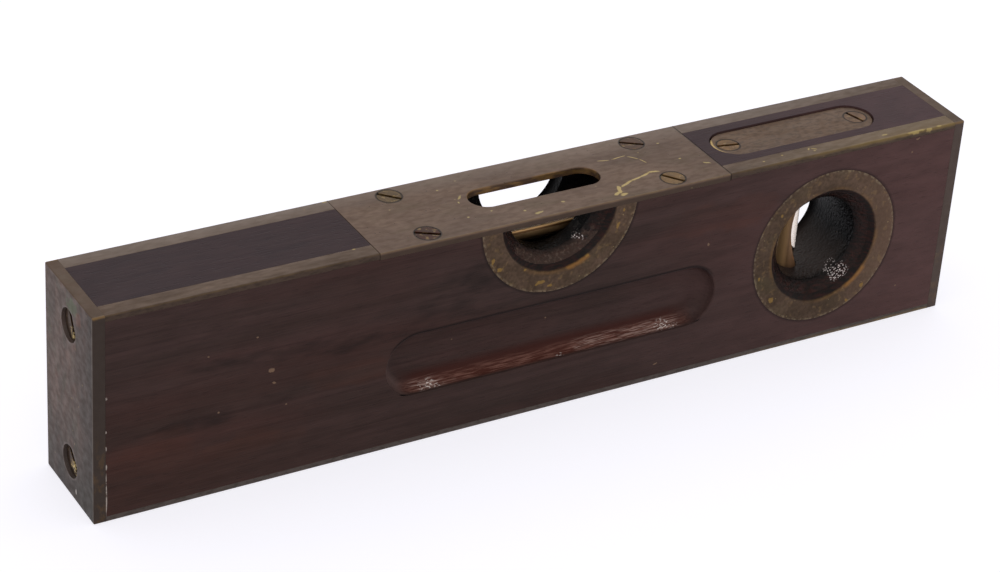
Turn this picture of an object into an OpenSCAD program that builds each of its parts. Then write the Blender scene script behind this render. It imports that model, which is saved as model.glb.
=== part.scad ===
// Plumb and level of rosewood bound in brass.
// The origin is the middle of the base, +X runs along the level to its plumb end,
// -Y is the front face and +Z is up. All sizes are in millimetres and degrees.

/* [Body] */
// Length over the end plates
body_l = 254; // [248:1:262]
// Thickness from the front face to the back face
body_w = 29; // [28:0.5:32]
// Height from the base to the top
body_h = 58.5; // [57.5:0.5:62]

/* [Brass binding] */
// Thickness of the end plates
end_t = 3.2; // [2.8:0.1:4]
// Width of the corner rails, as seen from above and below
rail_w = 4.8; // [3:0.1:5.5]
// Thickness of the corner rails, as seen from the sides
rail_t = 1.6; // [1:0.1:2]
// Length of the top plate
plate_l = 102.7; // [96:0.1:106]
// Thickness of the top plate
plate_t = 1.9; // [1.6:0.1:2.2]
// Gap that has opened at each end of the top plate
plate_gap = 0.12; // [0:0.01:0.3]
// Distance of the sight slot's middle from the middle of the level
slot_x = 0.5; // [-1:0.1:1]
// Length of the sight slot in the top plate
slot_l = 38; // [34:0.5:42]
// Width of the sight slot in the top plate
slot_w = 9.4; // [8:0.1:10]

/* [Sight holes] */
// Radius of the drilled sight holes
sight_r = 12.7; // [12:0.1:13.5]
// Radius of the funnel where it meets the face
funnel_r = 17; // [16:0.1:18]
// Outer radius of the brass rings
ring_r = 22.7; // [20.5:0.1:23]
// Thickness of the brass rings
ring_t = 1.6; // [1:0.1:2.5]
// Distance of the plumb sight from the middle of the level
plumb_x = 84.7; // [84:0.1:87]
// Height of the plumb sight above the base
plumb_z = 29.25; // [28:0.25:31]

/* [Level vial] */
// Height of the level tube's axis above the base
level_z = 48.8; // [48:0.1:49.2]
// Outer radius of the level tube
level_r = 5; // [4.6:0.1:5.2]
// Length of the level tube
level_l = 64; // [62:1:66]
// Height of the window's edge above the tube's axis
level_cut = 0.8; // [0:0.1:1.2]
// Length of the straight stretch of the window's edge
level_flat = 30; // [24:1:32]
// Radius of the scoops that end the window
level_scoop = 12.7; // [8:0.1:14]
// Length of the level glass
level_glass_l = 52; // [50:1:54]
// Outer radius of the level glass
level_glass_r = 4.2; // [3.9:0.1:4.3]
// Radius of the level glass's bore in its middle
level_bore_r = 3.3; // [3:0.1:3.4]
// Length of the bubble
bubble_l = 13; // [11:0.5:14]
// Travel of the bubble to each side
bubble_travel = 13; // [8:0.5:13]

/* [Plumb vial] */
// Distance of the plumb tube's axis from the middle of the level
tube_x = 83.5; // [83.3:0.1:84.5]
// Outer radius of the plumb tube
plumb_r = 3; // [2.8:0.1:3.2]
// Height of the plumb tube's foot above the base
plumb_foot = 9; // [7:0.5:10]
// Length of the plumb tube
plumb_l = 40; // [39:0.5:41]
// Depth of the window's edge behind the tube's axis
plumb_cut = 1.25; // [0.8:0.05:1.5]
// Radius of the scoop that makes the window
plumb_scoop = 25.4; // [22:0.1:28]
// Outer radius of the plumb glass
plumb_glass_r = 2.1; // [1.9:0.05:2.2]
// Radius of the plumb glass's bore
plumb_bore_r = 1.5; // [1.4:0.05:1.6]
// Length of the plumb bubble
slug_l = 5; // [4:0.5:6]
// Radius of the plumb bubble
slug_r = 1; // [0.8:0.05:1.1]
// Travel of the plumb bubble down its glass
slug_travel = 23; // [15:0.5:23]

/* [Plumb cover] */
// Distance of the cover's middle from the middle of the level
cover_x = 80.3; // [79:0.1:82]
// Length of the cover
cover_l = 50; // [48:0.5:52]
// Width of the cover
cover_w = 12.7; // [12:0.1:13]
// Thickness of the cover
cover_t = 1.6; // [1.4:0.1:2]
// Depth of the cover's face below the wood
cover_sunk = 0.45; // [0.2:0.05:0.8]
// Play of the cover in its pocket at each side
cover_play = 0.25; // [0.1:0.05:0.4]

/* [Finger grip] */
// Distance of the grip hollow's middle from the middle of the level
grip_x = 1; // [-3:0.5:3]
// Length of the grip hollow
grip_l = 98; // [80:1:104]
// Height of the grip hollow
grip_h = 17.8; // [14:0.2:19]
// Height of the grip hollow's middle above the base
grip_z = 23.5; // [22:0.5:24]
// Depth of the grip hollow
grip_deep = 4; // [3:0.1:4]
// Radius of the cove round the grip hollow
grip_cove = 4; // [3:0.1:4]

/* [Screws] */
// Head diameter of the end plate screws
end_head = 8.8; // [8:0.1:9.2]
// Height of the end plate screws above and below the level's middle
end_screw_z = 19.5; // [17:0.5:21]
// Depth of the end plate screws' heads below the plate
end_sunk = 1; // [0.3:0.1:1.2]
// Head diameter of the top plate screws
plate_head = 6.6; // [6:0.1:6.8]
// Distance between the top plate screws along the level
plate_screw_x = 72; // [70:0.5:76]
// Distance between the top plate screws across the level
plate_screw_y = 20.4; // [19.5:0.1:21]
// Head diameter of the cover screws
cover_head = 6.2; // [5.6:0.1:6.4]
// Distance between the cover screws
cover_screw_x = 41; // [40:0.5:42]

/* [Hidden] */
$fn = 96;

// A cutter passes this far through the faces that it opens
over = 1;
// Clearance round the bubbles
air = 0.06;

stock_l = body_l - 2 * end_t;
front = -body_w / 2;
plate_z = body_h - plate_t;
plate_half = plate_l / 2;
recess_half = plate_half + plate_gap;
funnel_deep = funnel_r - sight_r;

// The groove for the level tube, and the plaster that beds the tube in it
level_wall = 0.5;
groove_half = 34;
groove_w = 11.2;
groove_z = level_z - level_r - 0.4;
bed_from = 26;
bed_top = level_z + 2.2;
plug_from = 22.5;

// A glass has this much wall at its round ends, and a tip where it was melted shut
glass_end = 3;
glass_corner = 1.4;
tip_l = 2.2;
tip_r = 0.8;
// Radius to which the bores are ground lengthwise, and the steps that follow it
barrel_curve = 1500;
barrel_steps = 8;
level_inner_l = level_glass_l - 2 * glass_end;

// The bubble is a bar with round ends, which the bore flattens on top
bubble_w = 4.6;
bubble_deep = 2.9;
bubble_r = barrel(level_bore_r, bubble_travel + bubble_l / 2) - air;
bubble_z = level_z + bubble_r - bubble_deep + bubble_w / 2;

plumb_wall = 0.5;
plumb_glass_l = 33;
plumb_glass_z = plumb_foot + plumb_l / 2;
plumb_inner_l = plumb_glass_l - glass_end;
plumb_window_z = 28.8;
plumb_plug_l = 6;
slug_top = plumb_glass_z + plumb_inner_l / 2 - 0.6;

// The mortise that lets the plumb tube down into the stock
mortise_l = 34;
mortise_w = 8;
mortise_z = 47;
mortise_fill = 7.5;
pocket_z = body_h - cover_sunk - cover_t;

// Turns of the screw slots, in the order in which the screws are placed
end_turns = [25, 41];
plate_turns = [-31, -53, -46, -33];
cover_turns = [-12, -75];
end_shank = 4.6;
plate_shank = 3.4;
cover_shank = 3;
end_screw_l = 25;
plate_screw_l = 19;
cover_screw_l = 13;
// A head keeps this much straight edge above its cone
head_edge = 0.2;
slot_share = 0.14;

brass = [0.44, 0.38, 0.31];
ring_brass = [0.40, 0.34, 0.25];
screw_brass = [0.48, 0.40, 0.28];
tube_brass = [0.66, 0.50, 0.24];
rosewood = [0.24, 0.15, 0.14];
glass = [0.80, 0.88, 0.86, 0.5];
spirit = [0.92, 0.90, 0.70, 0.6];
air_colour = [0.96, 0.98, 1.00, 0.7];
plaster = [0.88, 0.86, 0.80];

function barrel(r, u) = r - u * u / (2 * barrel_curve);

// A slot with round ends, standing on z = 0, its length along X
module stadium(l, w, h) {
    translate([-(l - w) / 2, -w / 2, 0]) cube([l - w, w, h]);
    for (s = [-1, 1]) translate([s * (l - w) / 2, 0, 0]) cylinder(d = w, h = h);
}

// The shape of a countersunk wood screw that points down from z = 0
module screw_shape(head, shank, l, above = 0) {
    cone = (head - shank) / 2;
    rotate_extrude() polygon([
        [0, above], [head / 2, above], [head / 2, -head_edge],
        [shank / 2, -head_edge - cone], [shank / 2, -0.45 * l],
        [0.36 * shank, -0.5 * l], [0.3 * shank, -0.86 * l], [0, -l]
    ]);
}

// The screw itself, its slot turned by an angle from X
module screw(head, shank, l, turn) {
    wide = slot_share * head;
    difference() {
        screw_shape(head, shank, l);
        rotate([0, 0, turn]) translate([-head, -wide / 2, -wide]) cube([2 * head, wide, wide + over]);
    }
}

// Places its children at the four corners of the top plate, numbered by $corner
module at_plate_screws() {
    for (i = [0:3]) {
        $corner = i;
        x = (i % 2 == 0 ? -1 : 1) * plate_screw_x / 2;
        y = (i < 2 ? -1 : 1) * plate_screw_y / 2;
        translate([x, y, body_h]) children();
    }
}

// Places its children at the two ends of the plumb cover
module at_cover_screws() {
    for (i = [0:1]) {
        $corner = i;
        translate([cover_x + (2 * i - 1) * cover_screw_x / 2, 0, body_h - cover_sunk]) children();
    }
}

// Places its children on an end plate's outer face, pointing inwards
module at_end_screws(side) {
    for (i = [0:1]) {
        $corner = i;
        z = body_h / 2 + (1 - 2 * i) * end_screw_z;
        translate([side * body_l / 2, 0, z]) rotate([0, side * 90, 0]) translate([0, 0, -end_sunk]) children();
    }
}

// Turns a shape that stands on z = 0 so that it stands on the front face, pointing inwards
module on_front(x, z) {
    translate([x, front, z]) rotate([-90, 0, 0]) children();
}

module both_faces() {
    children();
    mirror([0, 1, 0]) children();
}

// The funnel of a sight hole, which opens towards the face
module funnel() {
    translate([0, 0, -over]) cylinder(r1 = funnel_r + over, r2 = sight_r, h = funnel_deep + over);
}

// A sight hole with its two funnels and the seats of its rings
module sight_hole(x, z) {
    on_front(x, z) translate([0, 0, -over]) cylinder(r = sight_r, h = body_w + 2 * over);
    both_faces() on_front(x, z) {
        funnel();
        translate([0, 0, -over]) cylinder(r = ring_r, h = ring_t + over);
    }
}

// Half of the grip hollow's section, with the face at y = 0
module grip_section() {
    half = grip_h / 2;
    intersection() {
        union() {
            translate([0, -grip_deep]) square([half - grip_cove, grip_deep + over]);
            translate([half - grip_cove, grip_cove - grip_deep]) circle(r = grip_cove);
            translate([0, grip_cove - grip_deep]) square([half, grip_deep - grip_cove + over]);
        }
        translate([0, -2 * grip_h]) square([grip_h, 4 * grip_h]);
    }
}

// The grip hollow, sunk below z = 0 with its length along X
module grip_hollow() {
    straight = grip_l - grip_h;
    rotate([90, 0, 90]) translate([0, 0, -straight / 2]) linear_extrude(straight) {
        grip_section();
        mirror([1, 0, 0]) grip_section();
    }
    for (s = [-1, 1]) translate([s * straight / 2, 0, 0]) rotate_extrude() grip_section();
}

module rail_seats() {
    both_faces() for (z = [-over, body_h - rail_t])
        translate([-stock_l, front - over, z]) cube([2 * stock_l, rail_w + over, rail_t + over]);
}

module stock() {
    color(rosewood) difference() {
        translate([-stock_l / 2, front, 0]) cube([stock_l, body_w, body_h]);
        translate([-recess_half, front - over, plate_z]) cube([2 * recess_half, body_w + 2 * over, plate_t + over]);
        rail_seats();
        sight_hole(0, body_h);
        sight_hole(plumb_x, plumb_z);
        translate([-groove_half, -groove_w / 2, groove_z]) cube([2 * groove_half, groove_w, body_h]);
        translate([cover_x, 0, pocket_z])
            stadium(cover_l + 2 * cover_play, cover_w + 2 * cover_play, body_h);
        translate([cover_x, 0, mortise_z]) stadium(mortise_l, mortise_w, body_h);
        translate([tube_x, 0, plumb_foot]) cylinder(r = plumb_r, h = body_h);
        both_faces() translate([grip_x, front, grip_z]) rotate([90, 0, 0]) grip_hollow();
        at_plate_screws() screw_shape(plate_head, plate_shank, plate_screw_l);
        at_cover_screws() screw_shape(cover_head, cover_shank, cover_screw_l);
        for (side = [-1, 1]) at_end_screws(side) screw_shape(end_head, end_shank, end_screw_l);
    }
}

module end_plate(side) {
    x = side < 0 ? -body_l / 2 : body_l / 2 - end_t;
    color(brass) difference() {
        translate([x, front, 0]) cube([end_t, body_w, body_h]);
        at_end_screws(side) screw_shape(end_head, end_shank, end_screw_l, above = over);
    }
}

module end_screws(side) {
    color(screw_brass) at_end_screws(side) screw(end_head, end_shank, end_screw_l, end_turns[$corner]);
}

// A corner rail between two places along X, seated at a height on the front edge
module rail(from, to, z) {
    color(brass) translate([from, front, z]) cube([to - from, rail_w, rail_t]);
}

module top_rail_left() {
    rail(-stock_l / 2, -recess_half, body_h - rail_t);
}

module top_rail_right() {
    rail(recess_half, stock_l / 2, body_h - rail_t);
}

module bottom_rail() {
    rail(-stock_l / 2, stock_l / 2, 0);
}

module top_plate() {
    color(brass) difference() {
        translate([-plate_half, front, plate_z]) cube([plate_l, body_w, plate_t]);
        translate([slot_x, 0, plate_z - over]) stadium(slot_l, slot_w, plate_t + 2 * over);
        at_plate_screws() screw_shape(plate_head, plate_shank, plate_screw_l, above = over);
    }
}

module top_plate_screws() {
    color(screw_brass) at_plate_screws() screw(plate_head, plate_shank, plate_screw_l, plate_turns[$corner]);
}

// A ring in the front face, its inner edge bevelled in line with the funnel
module ring(x, z) {
    color(ring_brass) on_front(x, z) difference() {
        cylinder(r = ring_r, h = ring_t);
        funnel();
    }
}

module half_ring() {
    difference() {
        ring(0, body_h);
        translate([-ring_r - over, -body_w, plate_z]) cube([2 * (ring_r + over), 2 * body_w, 2 * ring_r]);
    }
}

module plumb_ring() {
    ring(plumb_x, plumb_z);
}

module plumb_cover() {
    color(brass) difference() {
        translate([cover_x, 0, pocket_z]) stadium(cover_l, cover_w, cover_t);
        at_cover_screws() screw_shape(cover_head, cover_shank, cover_screw_l, above = over);
    }
}

module plumb_cover_screws() {
    color(screw_brass) at_cover_screws() screw(cover_head, cover_shank, cover_screw_l, cover_turns[$corner]);
}

// A brass tube along X with a scooped window that faces up
module scooped_tube(r, wall, l, cut, flat, scoop) {
    color(tube_brass) difference() {
        rotate([0, 90, 0]) difference() {
            cylinder(r = r, h = l, center = true);
            cylinder(r = r - wall, h = l + 2 * over, center = true);
        }
        if (flat > 0) translate([-flat / 2, -r - over, cut]) cube([flat, 2 * (r + over), 2 * r]);
        for (s = flat > 0 ? [-1, 1] : [0])
            translate([s * flat / 2, 0, cut + scoop])
                rotate([90, 0, 0]) cylinder(r = scoop, h = 2 * (r + over), center = true);
    }
}

// The outside of a glass vial along Z, melted shut to a tip at its upper end
module vial_outside(r, l) {
    corner = min(glass_corner, r - tip_r);
    rotate_extrude() intersection() {
        union() {
            translate([0, corner - l / 2]) square([r, l - 2 * corner]);
            translate([0, -l / 2]) square([r - corner, l]);
            for (s = [-1, 1]) translate([r - corner, s * (l / 2 - corner)]) circle(r = corner);
            square([tip_r, l / 2 + tip_l - tip_r]);
            translate([0, l / 2 + tip_l - tip_r]) circle(r = tip_r);
        }
        translate([0, -l]) square([r + over, 2 * l]);
    }
}

// The bore of a vial along Z, ground a little wider in its middle, with round ends
module vial_bore(r, l) {
    straight = l / 2 - r;
    step = 2 * straight / barrel_steps;
    wall = [for (i = [0:barrel_steps]) let (u = i * step - straight) [barrel(r, u), u]];
    rotate_extrude() intersection() {
        union() {
            polygon(concat([[0, -straight]], wall, [[0, straight]]));
            for (s = [-1, 1]) translate([0, s * straight]) circle(r = barrel(r, straight));
        }
        translate([0, -l]) square([2 * r, 2 * l]);
    }
}

module at_level() {
    translate([0, 0, level_z]) rotate([0, 90, 0]) children();
}

module level_tube() {
    translate([0, 0, level_z])
        scooped_tube(level_r, level_wall, level_l, level_cut, level_flat, level_scoop);
}

module level_glass() {
    color(glass) at_level() difference() {
        vial_outside(level_glass_r, level_glass_l);
        vial_bore(level_bore_r, level_inner_l);
    }
}

// A bar with round ends along Z, measured over its ends
module slug(r, l) {
    cylinder(r = r, h = l - 2 * r, center = true);
    for (s = [-1, 1]) translate([0, 0, s * (l / 2 - r)]) sphere(r = r);
}

module level_spirit() {
    way = bubble_l + 2 * (bubble_travel + air);
    color(spirit) difference() {
        at_level() vial_bore(level_bore_r, level_inner_l);
        translate([0, 0, bubble_z]) rotate([0, 90, 0]) slug(bubble_w / 2 + air, way);
    }
}

module level_bubble() {
    color(air_colour) intersection() {
        at_level() cylinder(r = bubble_r, h = bubble_l, center = true);
        translate([0, 0, bubble_z]) rotate([0, 90, 0]) slug(bubble_w / 2, bubble_l);
    }
}

// Plaster packing in one end of the level tube, round the end of the glass
module level_plug(side) {
    l = level_l / 2 - plug_from;
    color(plaster) at_level() difference() {
        translate([0, 0, side * (plug_from + l / 2)]) cylinder(r = level_r - level_wall, h = l, center = true);
        vial_outside(level_glass_r, level_glass_l);
    }
}

// Plaster bed under one end of the level tube, in the groove of the stock
module level_bed() {
    color(plaster) difference() {
        translate([bed_from, -groove_w / 2, groove_z])
            cube([groove_half - bed_from, groove_w, bed_top - groove_z]);
        at_level() cylinder(r = level_r, h = level_l, center = true);
    }
}

module at_plumb() {
    translate([tube_x, 0, plumb_glass_z]) children();
}

module plumb_tube() {
    rise = plumb_glass_z - plumb_window_z;
    color(tube_brass) translate([tube_x, 0, plumb_window_z]) difference() {
        translate([0, 0, rise]) difference() {
            cylinder(r = plumb_r, h = plumb_l, center = true);
            cylinder(r = plumb_r - plumb_wall, h = plumb_l + 2 * over, center = true);
        }
        translate([plumb_scoop - plumb_cut, 0, 0])
            rotate([90, 0, 0]) cylinder(r = plumb_scoop, h = 2 * (plumb_r + over), center = true);
    }
}

module plumb_glass() {
    color(glass) at_plumb() difference() {
        vial_outside(plumb_glass_r, plumb_glass_l);
        vial_bore(plumb_bore_r, plumb_inner_l);
    }
}

module plumb_spirit() {
    way = slug_l + slug_travel;
    color(spirit) difference() {
        at_plumb() vial_bore(plumb_bore_r, plumb_inner_l);
        translate([tube_x, 0, slug_top - way / 2]) slug(slug_r + air, way + 2 * air);
    }
}

module plumb_bubble() {
    color(air_colour) translate([tube_x, 0, slug_top - slug_l / 2]) slug(slug_r, slug_l);
}

// Plaster packing in an end of the plumb tube, from a height upwards
module plumb_plug(z) {
    color(plaster) difference() {
        translate([tube_x, 0, z]) cylinder(r = plumb_r - plumb_wall, h = plumb_plug_l);
        at_plumb() vial_outside(plumb_glass_r, plumb_glass_l);
    }
}

module plumb_plug_top() {
    plumb_plug(plumb_foot + plumb_l - plumb_plug_l);
}

module plumb_plug_bottom() {
    plumb_plug(plumb_foot);
}

// Plaster that fills the mortise round the head of the plumb tube
module plumb_bed() {
    color(plaster) difference() {
        translate([cover_x, 0, mortise_z]) stadium(mortise_l, mortise_w, mortise_fill);
        translate([tube_x, 0, 0]) cylinder(r = plumb_r, h = plumb_foot + plumb_l);
    }
}

stock();
end_plate(-1);  // end_plate_left
end_plate(1);  // end_plate_right
end_screws(-1);  // end_screws_left
end_screws(1);  // end_screws_right
top_rail_left();  // top_rail_front_left
top_rail_right();  // top_rail_front_right
mirror([0, 1, 0]) top_rail_left();  // top_rail_back_left
mirror([0, 1, 0]) top_rail_right();  // top_rail_back_right
bottom_rail();  // bottom_rail_front
mirror([0, 1, 0]) bottom_rail();  // bottom_rail_back
top_plate();
top_plate_screws();
half_ring();  // half_ring_front
mirror([0, 1, 0]) half_ring();  // half_ring_back
plumb_ring();  // plumb_ring_front
mirror([0, 1, 0]) plumb_ring();  // plumb_ring_back
plumb_cover();
plumb_cover_screws();
level_tube();
level_glass();
level_spirit();
level_bubble();
level_plug(-1);  // level_plug_left
level_plug(1);  // level_plug_right
mirror([1, 0, 0]) level_bed();  // level_bed_left
level_bed();  // level_bed_right
plumb_tube();
plumb_glass();
plumb_spirit();
plumb_bubble();
plumb_plug_top();
plumb_plug_bottom();
plumb_bed();
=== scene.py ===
"""Plumb and level of rosewood bound in brass: worn edges, patina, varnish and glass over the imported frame."""
import math

import bmesh
import bpy
from mathutils import Matrix, Vector


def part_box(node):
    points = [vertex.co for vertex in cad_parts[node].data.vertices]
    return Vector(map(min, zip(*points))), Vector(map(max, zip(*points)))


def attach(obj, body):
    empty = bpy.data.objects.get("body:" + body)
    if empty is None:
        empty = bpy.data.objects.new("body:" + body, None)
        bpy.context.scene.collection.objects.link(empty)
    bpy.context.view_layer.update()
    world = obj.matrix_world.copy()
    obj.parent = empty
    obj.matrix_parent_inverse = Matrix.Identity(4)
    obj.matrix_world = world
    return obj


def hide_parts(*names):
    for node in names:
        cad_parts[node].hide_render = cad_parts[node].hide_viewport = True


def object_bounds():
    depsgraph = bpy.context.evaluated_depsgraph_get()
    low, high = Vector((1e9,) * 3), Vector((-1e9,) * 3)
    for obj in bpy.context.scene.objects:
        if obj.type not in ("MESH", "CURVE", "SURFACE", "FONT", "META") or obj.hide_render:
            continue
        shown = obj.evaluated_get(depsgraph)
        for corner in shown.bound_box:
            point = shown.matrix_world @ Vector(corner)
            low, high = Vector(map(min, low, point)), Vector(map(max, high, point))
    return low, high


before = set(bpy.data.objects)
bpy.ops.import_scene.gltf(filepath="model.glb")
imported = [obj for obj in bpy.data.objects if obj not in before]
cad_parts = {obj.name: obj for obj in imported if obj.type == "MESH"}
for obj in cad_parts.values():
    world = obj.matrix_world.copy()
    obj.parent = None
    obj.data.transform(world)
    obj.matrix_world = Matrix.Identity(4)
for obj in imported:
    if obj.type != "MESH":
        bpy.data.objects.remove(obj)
cad_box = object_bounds()

MM = 0.001
BODY = "body"

# The camera, worked out from the seven visible corners of the body
CAMERA_PLACE = (-0.362802, -0.574377, 0.430920)
CAMERA_RIGHT = (0.867602, -0.493383, 0.061970)
CAMERA_UP = (0.206087, 0.470186, 0.858169)
CAMERA_BACK = (-0.452543, -0.731777, 0.509614)
CAMERA_LENS = 109.42
CAMERA_SENSOR = 36.0

# The outer faces of the level, in millimetres
low, high = (tuple(v / MM for v in corner) for corner in cad_box)
LEFT = low[0]
HALF_W = high[1]
FRONT = -HALF_W
TOP = high[2]

# The axes of the two sight holes, which run along Y, and the radii of their funnels and rings
LEVEL_SIGHT = (0.0, 0.0, TOP)
PLUMB_SIGHT = (84.7, 0.0, 29.25)
SIGHTS = (LEVEL_SIGHT, PLUMB_SIGHT)
FUNNEL_R = 17.0
RING_R = 22.7

# The middle of the level tube, which runs along X
LEVEL_TUBE = (0.0, 0.0, 48.8)

# The finger hollow: its middle in X and Z, half its straight stretch, half its height and its cove's radius
GRIP_X = 1.0
GRIP_Z = 23.5
GRIP_STRAIGHT = 40.1
GRIP_R = 8.9
GRIP_COVE = 4.0

# The sight slot of the top plate: its middle in X, half its straight stretch and half its width
SLOT_X = 0.5
SLOT_STRAIGHT = 14.3
SLOT_R = 4.7

# The end of the top plate, and the middle of the cover's left end
PLATE_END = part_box("top_plate")[1].x / MM
COVER_END = (61.65, 0.0, TOP)

# The middles of the screw heads in the top, the axes of those in the ends, and the widths of the heads
PLATE_SCREWS = [(x, y, TOP) for y in (-10.2, 10.2) for x in (-36.0, 36.0)]
COVER_SCREWS = [(x, 0.0, TOP) for x in (59.8, 100.8)]
END_SCREWS = [(0.0, 0.0, z) for z in (48.75, 9.75)]
PLATE_HEAD = 6.6
COVER_HEAD = 6.2
END_HEAD = 8.8


def colour(code):
    """The linear RGBA colour of an sRGB hex code."""
    parts = [int(code[i:i + 2], 16) / 255 for i in (1, 3, 5)]
    linear = [c / 12.92 if c <= 0.04045 else ((c + 0.055) / 1.055) ** 2.4 for c in parts]
    return (*linear, 1.0)


def add(tree, kind, inputs=None, out=0, **settings):
    """Adds a node with its settings and links, and returns one of its outputs. An input is a value, a hex
    colour or another node's output."""
    made = tree.nodes.new(kind)
    for name, value in settings.items():
        setattr(made, name, value)
    for name, value in (inputs or {}).items():
        if isinstance(value, bpy.types.NodeSocket):
            tree.links.new(value, made.inputs[name])
        else:
            is_colour = isinstance(value, str) and value.startswith("#")
            made.inputs[name].default_value = colour(value) if is_colour else value
    return made.outputs[out] if made.outputs else made


def grid(tree, size=(1, 1, 1), middle=(0, 0, 0), turn=(0, 0, 0)):
    """The place on the object from a middle, in steps of a size, both in mm, with a turn in degrees."""
    here = add(tree, "ShaderNodeTexCoord", out="Object")
    return add(tree, "ShaderNodeMapping", {
        "Vector": here, "Location": [m * MM for m in middle],
        "Rotation": [math.radians(t) for t in turn], "Scale": [s * MM for s in size],
    }, vector_type="TEXTURE")


def coordinate(tree, axis, middle=(0, 0, 0)):
    """The place on the object along one axis, in mm from a middle."""
    return add(tree, "ShaderNodeSeparateXYZ", {0: grid(tree, middle=middle)}, out=axis)


def combined(tree, operation, values):
    """Several values made one by an operation."""
    result = values[0]
    for other in values[1:]:
        result = add(tree, "ShaderNodeMath", {0: result, 1: other}, operation=operation)
    return result


def all_of(tree, *masks):
    """A mask that keeps only where all of several hold."""
    return combined(tree, "MULTIPLY", masks)


def any_of(tree, *masks):
    """A mask that keeps where any of several holds."""
    return combined(tree, "MAXIMUM", masks)


def coats(tree, ground, *layers):
    """A ground colour under coats of others, each a colour, a mask and the most that it covers."""
    for tint, where, most in layers:
        cover = add(tree, "ShaderNodeMath", {0: where, 1: most}, operation="MULTIPLY")
        ground = add(tree, "ShaderNodeMix", {0: cover, 6: ground, 7: tint}, out=2, data_type="RGBA")
    return ground


def carved(tree, *layers):
    """A surface under layers of relief, each a height mask and its depth in mm, negative for a hollow."""
    normal = None
    for height, depth in layers:
        inputs = {"Height": height, "Distance": abs(depth) * MM, "Strength": 1.0}
        if normal is not None:
            inputs["Normal"] = normal
        normal = add(tree, "ShaderNodeBump", inputs, invert=depth < 0)
    return normal


def clouds(tree, size, start, end, seed, detail=3.0, warp=0.0):
    """Soft blotches of a real size in mm along X, Y and Z."""
    noise = add(tree, "ShaderNodeTexNoise", {
        "Vector": grid(tree, size, [seed * s for s in (3.7, 5.3, 7.9)]),
        "Scale": 1.0, "Detail": detail, "Distortion": warp})
    return add(tree, "ShaderNodeMapRange", {"Value": noise, "From Min": start, "From Max": end})


def specks(tree, spacing, radius, part, seed):
    """Small ragged specks: their spacing and radius in mm, and the part of the places that hold one."""
    spot = grid(tree, (spacing, spacing, spacing), [seed * s for s in (2.3, 4.1, 6.7)])
    ragged = add(tree, "ShaderNodeTexNoise", {"Vector": spot, "Scale": 3.0, "Detail": 2.0}, out="Color")
    spot = add(tree, "ShaderNodeVectorMath", {0: ragged, 1: (0.35, 0.35, 0.35), 2: spot},
               operation="MULTIPLY_ADD")
    cells = {"Vector": spot, "Scale": 1.0}
    near = add(tree, "ShaderNodeMapRange", {
        "Value": add(tree, "ShaderNodeTexVoronoi", cells),
        "From Min": radius / spacing, "From Max": 0.6 * radius / spacing})
    pick = add(tree, "ShaderNodeTexVoronoi", cells, out="Color")
    pick = add(tree, "ShaderNodeSeparateColor", {"Color": pick})
    pick = add(tree, "ShaderNodeMath", {0: pick, 1: part}, operation="LESS_THAN")
    return all_of(tree, near, pick)


def marks(tree, spots, ragged_size=1.2):
    """Marks at known places. Each is its middle and its size in mm, and its turn in degrees about X, Y, Z."""
    wave = add(tree, "ShaderNodeTexNoise", {
        "Vector": grid(tree, [ragged_size] * 3), "Scale": 1.0, "Detail": 2.0}, out="Color")
    wave = add(tree, "ShaderNodeVectorMath", {0: wave, 1: (-0.5, -0.5, -0.5)}, operation="ADD")
    found = []
    for middle, size, turn in spots:
        spot = grid(tree, size, middle, turn)
        spot = add(tree, "ShaderNodeVectorMath", {0: wave, 1: spot}, operation="ADD")
        spot = add(tree, "ShaderNodeVectorMath", {0: spot}, out="Value", operation="LENGTH")
        found.append(add(tree, "ShaderNodeMapRange", {"Value": spot, "From Min": 0.6, "From Max": 0.4}))
    return any_of(tree, *found)


def on_front(spots, depth=4):
    """Marks on the front, each its X, Z, width and height in mm and its turn in degrees, all as deep."""
    return [((x, FRONT, z), (width, depth, height), (0, turn, 0)) for x, z, width, height, turn in spots]


def on_top(spots):
    """Marks on the top, each its X, Y, length and width in mm and its turn in degrees."""
    return [((x, y, TOP), (length, width, 2), (0, 0, turn)) for x, y, length, width, turn in spots]


def on_left(spots, depth=4, inset=0):
    """Marks on the left end or sunk in it, each its Y, Z, width and height in mm, all as deep."""
    return [((LEFT + inset, y, z), (depth, width, height), (0, 0, 0)) for y, z, width, height in spots]


def along(tree, axis, start, end):
    """A mask that goes from 0 to 1 along an axis, between two places in mm."""
    return add(tree, "ShaderNodeMapRange", {
        "Value": coordinate(tree, axis), "From Min": start, "From Max": end})


def behind_face(tree, start, end):
    """A mask that goes from 0 to 1 between two depths in mm behind the front or the back face."""
    away = add(tree, "ShaderNodeMath", {0: coordinate(tree, "Y")}, operation="ABSOLUTE")
    return add(tree, "ShaderNodeMapRange", {
        "Value": away, "From Min": HALF_W - start, "From Max": HALF_W - end})


def round_axes(tree, middles, axis, start, end, ragged=0.6):
    """A mask with a ragged border, by the distance in mm from the nearest of several axes along X, Y or Z."""
    flat = [1e6 if name == axis else 1 for name in "XYZ"]
    near = [add(tree, "ShaderNodeVectorMath", {0: grid(tree, flat, middle)}, out="Value", operation="LENGTH")
            for middle in middles]
    nearest = combined(tree, "MINIMUM", near)
    wave = add(tree, "ShaderNodeTexNoise", {
        "Vector": grid(tree, [1.6] * 3), "Scale": 1.0, "Detail": 3.0})
    nearest = add(tree, "ShaderNodeMath", {0: wave, 1: ragged, 2: nearest}, operation="MULTIPLY_ADD")
    return add(tree, "ShaderNodeMapRange", {
        "Value": nearest, "From Min": start + ragged / 2, "From Max": end + ragged / 2})


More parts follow.
